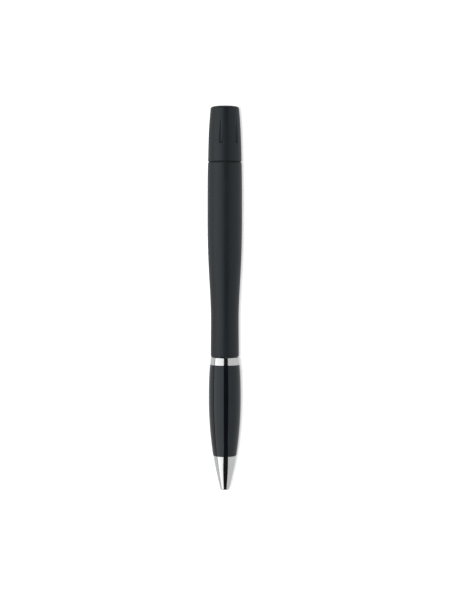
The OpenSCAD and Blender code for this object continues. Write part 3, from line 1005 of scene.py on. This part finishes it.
def glowing(name, shade, roughness, glow):
    """A dull grey surface that also gives off a little even white light."""
    finish = new_finish(name, (shade, shade, shade), roughness)
    shader_of(finish).inputs["Emission Color"].default_value = (1, 1, 1, 1)
    shader_of(finish).inputs["Emission Strength"].default_value = glow
    return finish


sheet_size = 8
room_r = 3.9

floor = start_piece("table", bpy.ops.mesh.primitive_plane_add, size=sheet_size)
sheet = glowing("pale_sheet", 0.33, 0.9, glow=0.6)
shader_of(sheet).inputs["Specular IOR Level"].default_value = 0.1
floor.data.materials.append(sheet)
floor.visible_glossy = False

# gloss and plating mirror this dimmer card just below the sheet instead, so that the pen's
# edges stay darker than the sheet beside them
card_drop = 0.5
card = start_piece("dim_card", bpy.ops.mesh.primitive_plane_add, size=sheet_size,
                   location=(0, 0, -card_drop * MM))
bpy.ops.object.transform_apply(location=True, rotation=True, scale=True)
card.data.materials.append(glowing("dim_sheet", 0, 0.9, glow=0.7))

# the room is only a backdrop: it gives the pen neither light nor reflections
room = start_piece("pale_room", bpy.ops.mesh.primitive_uv_sphere_add, radius=room_r, segments=48,
                   ring_count=24)
smooth(room)
room.data.materials.append(glowing("pale_wall", 0, 0.9, glow=0.62))
room.visible_diffuse = room.visible_glossy = room.visible_shadow = False

# a black flag widens the gap between the two lights beyond the nose, so that the dark line
# along the top of the nose cone keeps its width down to the mouth; sizes are in metres
flag_long, flag_wide, flag_narrow = 0.6, 1.48, 0.31
flag_start = -0.25
flag_place = (0.08, flag_start - flag_long / 2, axis_z + 0.45)
flag = start_piece("black_flag", bpy.ops.mesh.primitive_plane_add, size=1, location=flag_place)
flag.scale = (flag_wide, flag_long, 1)
bpy.ops.object.transform_apply(location=True, rotation=True, scale=True)
bpy.ops.object.mode_set(mode="EDIT")
pick(flag, lambda v: v.co.y > flag_start - flag_long / 2)
bpy.ops.transform.resize(value=(flag_narrow / flag_wide, 1, 1))
bpy.ops.object.mode_set(mode="OBJECT")
felt = glowing("black_felt", 0.004, 1, glow=0.009)
shader_of(felt).inputs["Specular IOR Level"].default_value = 0
flag.data.materials.append(felt)
flag.visible_camera = False


def lamp(name, toward, distance, span, along, glow):
    """A rectangular light that faces the pen, with sizes in metres. Seen from the pen it is
    centred at the angle toward from straight up, and takes up span degrees; glow is how bright
    its face looks."""
    bpy.ops.object.light_add(type="AREA")
    light = bpy.context.object
    light.name = name
    across = 2 * distance * math.tan(math.radians(span / 2))
    light.data.shape = "RECTANGLE"
    light.data.size, light.data.size_y = across, along
    light.data.energy = glow * math.pi * across * along
    angle = math.radians(toward)
    light.location = (math.sin(angle) * distance, 0, math.cos(angle) * distance)
    light.rotation_euler = (0, angle, 0)
    light.visible_camera = False
    return light


soft_left = lamp("soft_light_left", toward=-46.2, distance=0.8, span=76.4, along=1.56, glow=1.32)
lamp("soft_light_right", toward=57.5, distance=0.8, span=65, along=1.5, glow=0.7)
overhead = lamp("lamp_overhead", toward=-6, distance=1, span=6.9, along=0.12, glow=280)
overhead.visible_glossy = False

# the left light fades from its low edge, away from the pen, to its top
soft_left.data.use_nodes = True
fade_nodes, fade_links = soft_left.data.node_tree.nodes, soft_left.data.node_tree.links
on_face = fade_nodes.new("ShaderNodeNewGeometry")
across_face = fade_nodes.new("ShaderNodeSeparateXYZ")
fade = fade_nodes.new("ShaderNodeMapRange")
fade.inputs["To Min"].default_value = 1.2
fade.inputs["To Max"].default_value = 0.8
fade_links.new(on_face.outputs["Parametric"], across_face.inputs["Vector"])
fade_links.new(across_face.outputs["X"], fade.inputs["Value"])
fade_links.new(fade.outputs["Result"], fade_nodes["Emission"].inputs["Strength"])

world = bpy.data.worlds.new("studio")
world.use_nodes = True
world.node_tree.nodes["Background"].inputs["Color"].default_value = (1, 1, 1, 1)
world.node_tree.nodes["Background"].inputs["Strength"].default_value = 0.015
bpy.context.scene.world = world
bpy.context.scene.view_settings.view_transform = "Standard"

bpy.ops.object.camera_add()
camera = bpy.context.object
camera.name = "camera"
camera.data.sensor_width = 36
camera.data.lens = 90
camera_x, camera_y, camera_high = 0.00007, 0.0274, 0.566
aim_back = 0.0279
camera.location = (camera_x, camera_y, axis_z + camera_high)
camera.rotation_euler = (-math.atan2(aim_back, camera_high), 0, 0)
camera.data.clip_start = 0.01
bpy.context.scene.camera = camera
